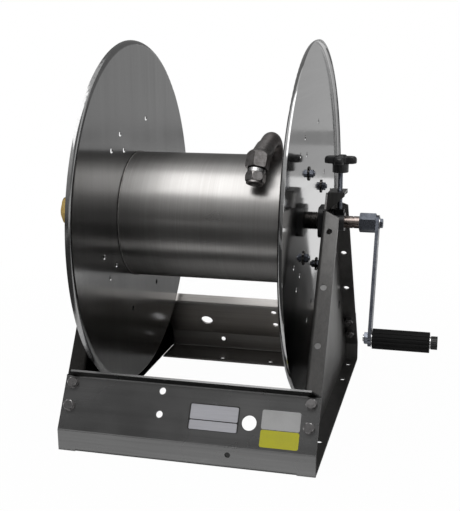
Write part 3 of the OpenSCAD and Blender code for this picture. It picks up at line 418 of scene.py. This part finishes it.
# ---------------------------------------------------------------- meshes
def new_object(name, points, faces, material, body, sharp):
    """An object at the origin from points and faces, its doubles merged and normals outward.
    Edges of more than sharp degrees stay crisp."""
    mesh = bpy.data.meshes.new(name)
    mesh.from_pydata(points.reshape(-1, 3).tolist(), [], faces)
    shape = bmesh.new()
    shape.from_mesh(mesh)
    bmesh.ops.remove_doubles(shape, verts=shape.verts, dist=2e-6)
    bmesh.ops.dissolve_degenerate(shape, edges=shape.edges, dist=1e-6)
    bmesh.ops.recalc_face_normals(shape, faces=shape.faces)
    shape.to_mesh(mesh)
    shape.free()
    mesh.shade_smooth()
    mesh.set_sharp_from_angle(angle=math.radians(sharp))
    mesh.materials.append(MATERIALS[material])
    made = bpy.data.objects.new(name, mesh)
    bpy.context.scene.collection.objects.link(made)
    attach(made, body)
    return made


def around(steps):
    """Angles once round, the full turn left out."""
    return np.linspace(0, 2 * np.pi, steps, endpoint=False)


def grid_faces(rows, columns, wrap_rows=False, wrap_columns=True):
    """Quads over a grid of rows by columns, numbered row by row."""
    i = np.arange(rows if wrap_rows else rows - 1)
    j = np.arange(columns if wrap_columns else columns - 1)
    i, j = np.meshgrid(i, j, indexing="ij")
    row, next_row, next_j = i * columns, (i + 1) % rows * columns, (j + 1) % columns
    quads = np.stack([row + j, row + next_j, next_row + next_j, next_row + j], -1)
    return quads.reshape(-1, 4).tolist()


def axes_for(direction):
    """Two unit vectors square to a direction and to each other."""
    direction = np.array(direction, float) / np.linalg.norm(direction)
    helper = np.array([0.0, 0.0, 1.0]) if abs(direction[2]) < 0.9 else np.array([0.0, 1.0, 0.0])
    first = np.cross(helper, direction)
    first /= np.linalg.norm(first)
    return direction, first, np.cross(direction, first)


def turned(profile, origin, direction, steps=64):
    """A closed turned ring: each profile point (s, r) goes s along the axis and round it at radius r."""
    along, first, second = axes_for(direction)
    s, r = np.array(profile, float).T
    angle = around(steps)
    swing = np.cos(angle)[:, None] * first + np.sin(angle)[:, None] * second
    points = np.array(origin, float) + s[:, None, None] * along + r[:, None, None] * swing
    return points, grid_faces(len(s), steps, True)


# ---------------------------------------------------------------- pieces over the solids
def tube_faces(rows, columns):
    """A capped tube: quads along it and one face at each end."""
    first, last = list(range(columns)), list(range((rows - 1) * columns, rows * columns))
    return grid_faces(rows, columns) + [first[::-1], last]


def make_knob():
    """The knob: rings P(z, a) at height z, of radius s ((1 - m) hub + m lobes(a)) in mm, where
    lobes(a) = 17.6 + 7.4 tanh(2.2 cos 4a) / tanh 2.2.
    m turns the round hub into the lobes, s draws their edges in."""
    low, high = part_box("brake_knob")
    middle = 0.5 * (low + high)
    hub, lobe, swing, crisp, steps = 12.5, 17.6, 7.4, 2.2, 96
    z, m, s = np.array([
        (0.0, 0.0, 0.84), (0.0, 0.0, 0.97), (0.8, 0.0, 1.0), (12.2, 0.0, 1.0), (13.4, 0.15, 1.0),
        (13.6, 0.8, 0.93), (14.3, 1.0, 0.975), (15.4, 1.0, 0.998), (19.5, 1.0, 1.0), (21.8, 1.0, 0.985),
        (23.5, 1.0, 0.945), (24.6, 1.0, 0.87), (25.0, 1.0, 0.76), (24.9, 0.75, 0.62), (24.2, 0.3, 0.62),
        (24.0, 0.0, 0.55), (24.0, 0.0, 0.06),
    ]).T[..., None]
    a = around(steps)
    lobes = lobe + swing * np.tanh(crisp * np.cos(4 * a)) / np.tanh(crisp)
    r = s * ((1 - m) * hub + m * lobes)
    points = np.stack([middle[0] + MM * r * np.cos(a), middle[1] + MM * r * np.sin(a),
                       np.broadcast_to(low[2] + MM * z, r.shape)], -1)
    knob = new_object("knob_lobed", points, tube_faces(len(z), steps), "black_plastic",
                      "brake_screw", 40.0)
    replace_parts(knob, "brake_knob")


def helix(radius, s, a, pitch, depth):
    """A thread: the radius less depth times a triangle wave of s / pitch - a / 2 pi."""
    phase = (s / pitch - a / (2 * np.pi)) % 1.0
    return radius - depth * np.abs(2 * phase - 1)


def make_brake_screw():
    """The threaded screw: P(s, a) at height s and radius helix(s, a), closed at both ends."""
    low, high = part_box("brake_screw")
    middle = 0.5 * (low + high)
    rings, steps, pitch, depth = 400, 28, 1.5 * MM, 0.45 * MM
    s = np.linspace(0, high[2] - low[2], rings)[:, None]
    a = around(steps)[None, :]
    r = helix(0.5 * (high[0] - low[0]), s, a, pitch, depth)
    points = np.stack([middle[0] + r * np.cos(a), middle[1] + r * np.sin(a), low[2] + s + 0 * a], -1)
    screw = new_object("screw_threaded", points, tube_faces(rings, steps), "zinc_steel",
                       "brake_screw", 60.0)
    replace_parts(screw, "brake_screw")


def make_thread(name, origin, direction, length, bore, pitch, body, material):
    """A threaded lining of a bore: out along its wall, back along the crests helix(s, a) inside it."""
    along, first, second = axes_for(direction)
    wall_gap, crest_gap, depth, steps = 0.01 * MM, 0.1 * MM, 0.9 * MM, 48
    count = int(length / pitch * 10)
    s = np.linspace(0, length, count)[:, None]
    a = around(steps)[None, :]
    crest = helix(bore - crest_gap, s, a, pitch, depth)
    wall = np.full_like(crest, bore - wall_gap)
    s = np.concatenate([s, s[::-1]])
    r = np.concatenate([wall, crest[::-1]])
    swing = np.cos(a)[..., None] * first + np.sin(a)[..., None] * second
    points = np.array(origin, float) + s[..., None] * along + r[..., None] * swing
    new_object(name, points, grid_faces(2 * count, steps, True), material, body, 60.0)


def make_weld(side):
    """The weld bead at one end of the drum: P(a, t) goes round the drum at a and round the bead at t.
    The bead's radius is 0.95 + 0.15 |sin 118 a| + 0.08 sin(7 a + side) mm."""
    rings, steps, inset = 720, 12, 1.1 * MM
    a = around(rings)[:, None]
    t = around(steps)[None, :]
    size = MM * (0.95 + 0.15 * np.abs(np.sin(118 * a)) + 0.08 * np.sin(7 * a + side))
    x = side * (DISC_IN_X - inset)
    r = DRUM_R + size * np.sin(t)
    points = np.stack([x + size * np.cos(t) + 0 * a, -r * np.cos(a), AXIS_Z + r * np.sin(a)], -1)
    name = "drum_weld_" + ("right" if side > 0 else "left")
    new_object(name, points, grid_faces(rings, steps, True), "weld", "reel", 60.0)


def make_outlet_neck():
    """The turned neck between the seal and the swivel nut: a closed ring just outside the solid's own."""
    joint = {row["name"]: row for row in frame["record"]["behaviour"]["joints"]}["outlet_swivel_spin"]
    profile = MM * np.array([
        (-6.2, 12.0), (-6.2, 13.3), (-5.9, 13.56), (-0.9, 13.56), (-0.4, 13.2), (-0.4, 12.0)])
    points, faces = turned(profile, joint["pos_m"], joint["axis"])
    new_object("outlet_neck", points, faces, "bright_steel", "reel", 30.0)


def make_spacer(name):
    """A turned spacer on the reel's axis: a closed ring with four grooves between its ribs. A share s
    along it, its radius is outer - 0.9 (1 - tanh(3 cos 8 pi s) / tanh 3) mm."""
    low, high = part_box(name)
    length, outer = high[0] - low[0], 0.5 * (high[2] - low[2])
    grooves, crisp, wall = 4, 3.0, 3.2 * MM
    s = np.linspace(0.0, 1.0, 30 * grooves + 1)
    r = outer - 0.9 * MM * (1 - np.tanh(crisp * np.cos(2 * np.pi * grooves * s)) / np.tanh(crisp))
    profile = [*zip(s * length, r), (length, outer - wall), (0.0, outer - wall)]
    points, faces = turned(profile, (low[0], 0.0, AXIS_Z), (1.0, 0.0, 0.0))
    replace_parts(new_object(name + "_ribbed", points, faces, "dark_steel", "reel", 40.0), name)


def make_pieces():
    make_knob()
    make_spacer("left_spacer")
    make_spacer("right_spacer")
    make_outlet_neck()
    make_brake_screw()
    for side in (-1, 1):
        make_weld(side)
    mounts = {row["name"]: row for row in frame["record"]["mounts"]}
    lead_in, lead_out = 0.3 * MM, 0.5 * MM
    for name, bore, pitch, body, slot_name, material in (
        ("hose_outlet", 9.5 * MM, 2.0 * MM, "outlet_swivel", "pipe_steel", "cast_steel"),
        ("hose_inlet", 12.0 * MM, 2.2 * MM, "inlet_swivel", "brass", "brass"),
    ):
        row = mounts[name]
        along = np.array(row["axis"], float)
        length = row["dims"]["length_mm"] * MM
        begin = np.array(row["pos_m"], float) - (0.5 * length - lead_in) * along
        make_thread(name + "_thread", begin, along, length - lead_in - lead_out, bore, pitch, body,
                    material)


# ---------------------------------------------------------------- light and stage
def seen_by(tree, *kinds):
    """1 for a ray of any of these kinds, otherwise 0."""
    rays = tree.nodes.new("ShaderNodeLightPath").outputs
    seen = rays[kinds[0]]
    for kind in kinds[1:]:
        seen = maths(tree, "MAXIMUM", seen, rays[kind])
    return seen


def mix_shaders(tree, share, first, second, end):
    """Sends first to end, and as much of second in its place as share says."""
    mixed = add(tree, "MixShader", i0=share, i1=first.outputs[0], i2=second.outputs[0])
    link(tree, mixed.outputs[0], end)


def glow_material(name, strength):
    material = bpy.data.materials.new(name)
    tree, end = bare_tree(material, "ShaderNodeOutputMaterial")
    link(tree, add(tree, "Emission", Color=(1, 1, 1, 1), Strength=strength).outputs[0], end)
    return material


def floor_material():
    """A white floor: the camera sees it glow, with a trace of the part's shade near the middle, and
    every other ray meets a matt white sheet."""
    material = bpy.data.materials.new("floor")
    tree, end = bare_tree(material, "ShaderNodeOutputMaterial")
    matt = add(tree, "BsdfDiffuse", Color=(0.82, 0.82, 0.82, 1))
    glow = add(tree, "Emission", Color=(1, 1, 1, 1), Strength=1.0)
    place = tree.nodes.new("ShaderNodeTexCoord").outputs["Object"]
    reach = add(tree, "VectorMath", {"operation": "LENGTH"}, i0=place).outputs["Value"]
    far = spread(tree, reach, 0.42, 1.1, 0.98, 1.0)
    seen = seen_by(tree, "Is Camera Ray", "Is Transmission Ray")
    mix_shaders(tree, maths(tree, "MULTIPLY", seen, far), matt, glow, end)
    return material


def rectangle(left, right, near, far, height):
    """The corners of a level rectangle."""
    return np.array([[[x, y, height] for x in (left, right)] for y in (near, far)], float)


def stage_sheet(name, points, faces, material):
    mesh = bpy.data.meshes.new(name)
    mesh.from_pydata(points.reshape(-1, 3).tolist(), [], faces)
    mesh.materials.append(material)
    sheet = bpy.data.objects.new(name, mesh)
    bpy.context.scene.collection.objects.link(sheet)
    return sheet


def only_glossy(sheet):
    """Leaves a sheet to reflections alone."""
    sheet.visible_camera = False
    sheet.visible_diffuse = False
    sheet.visible_transmission = False
    sheet.visible_shadow = False


def curved_card(name, azimuths, elevations, distance, strength):
    """A glowing card that only reflections see: a patch of a sphere round the reel, between two
    azimuths (0 is the front, 90 the crank's side) and two elevations, in degrees."""
    rows, columns = 17, 9
    azimuth = np.radians(np.linspace(*azimuths, rows))
    elevation = np.radians(np.linspace(*elevations, columns))
    a, e = np.meshgrid(azimuth, elevation, indexing="ij")
    points = distance * np.stack([np.sin(a) * np.cos(e), -np.cos(a) * np.cos(e), np.sin(e)], -1)
    points[..., 2] += AXIS_Z
    faces = grid_faces(rows, columns, False, False)
    only_glossy(stage_sheet(name, points, faces, glow_material(name, strength)))


def area_lamp(name, place, aim, size, power):
    """A rectangular lamp that shines from its place towards its aim."""
    data = bpy.data.lights.new(name, "AREA")
    data.shape = "RECTANGLE"
    data.size, data.size_y = size
    data.energy = power
    lamp = bpy.data.objects.new(name, data)
    bpy.context.scene.collection.objects.link(lamp)
    down = np.array(aim, float) - np.array(place, float)
    down /= np.linalg.norm(down)
    side = np.cross(down, [0, 1, 0])
    side /= np.linalg.norm(side)
    turn = np.eye(4)
    turn[:3, 0], turn[:3, 1], turn[:3, 2], turn[:3, 3] = side, np.cross(-down, side), -down, place
    lamp.matrix_world = Matrix(turn.tolist())


def make_world():
    """White to the camera, reflections and clear parts, and a dimmer fill light to the rest."""
    world = bpy.data.worlds.new("studio")
    bpy.context.scene.world = world
    tree, end = bare_tree(world, "ShaderNodeOutputWorld")
    fill = add(tree, "Background", Color=(1, 1, 1, 1), Strength=0.34)
    white = add(tree, "Background", Color=(1, 1, 1, 1), Strength=1.0)
    seen = seen_by(tree, "Is Camera Ray", "Is Glossy Ray", "Is Transmission Ray")
    mix_shaders(tree, seen, fill, white, end)


def make_studio():
    bpy.context.scene.view_settings.view_transform = "Standard"
    make_world()
    quad = [[0, 1, 3, 2]]
    stage_sheet("floor", rectangle(-12, 12, -12, 12, 0), quad, floor_material())
    area_lamp("overhead", (-0.2, -0.8, 2.05), (-0.1, -0.1, 0.3), (1.9, 1.9), 27)
    for name, azimuths, elevations, distance, strength in (
        ("front_low_card", (-80, 30), (1, 8), 0.85, 0.09),
        ("front_card", (-80, 30), (8, 18), 0.85, 0.24),
        ("front_middle_card", (-80, 30), (18, 30), 0.85, 0.42),
        ("front_high_card", (-80, 30), (30, 44), 0.85, 0.7),
        ("right_card", (30, 80), (12, 60), 3.4, 0.25),
        ("rear_card", (105, 250), (10, 60), 3.4, 0.27),
        ("rear_low_card", (105, 250), (-4, 10), 3.5, 0.5),
    ):
        curved_card(name, azimuths, elevations, distance, strength)
    cloth_height = 0.001
    for name, left, right, near, far, strength in (
        ("front_near_cloth", -3, 3, -0.25, -0.37, 1.0),
        ("front_cloth", -3, 3, -0.42, -3.2, 0.07),
        ("rear_near_cloth", -3, 0.28, 0.45, 0.9, 0.27),
        ("right_near_cloth", 0.28, 3, 0.2, 0.9, 0.85),
        ("rear_cloth", -3, 3, 0.9, 2.35, 1.0),
        ("rear_far_cloth", -3, 3, 2.35, 3.4, 0.47),
    ):
        corners = rectangle(left, right, near, far, cloth_height)
        only_glossy(stage_sheet(name, corners, quad, glow_material(name, strength)))


make_camera()
make_studio()
dress_nodes()
make_pieces()
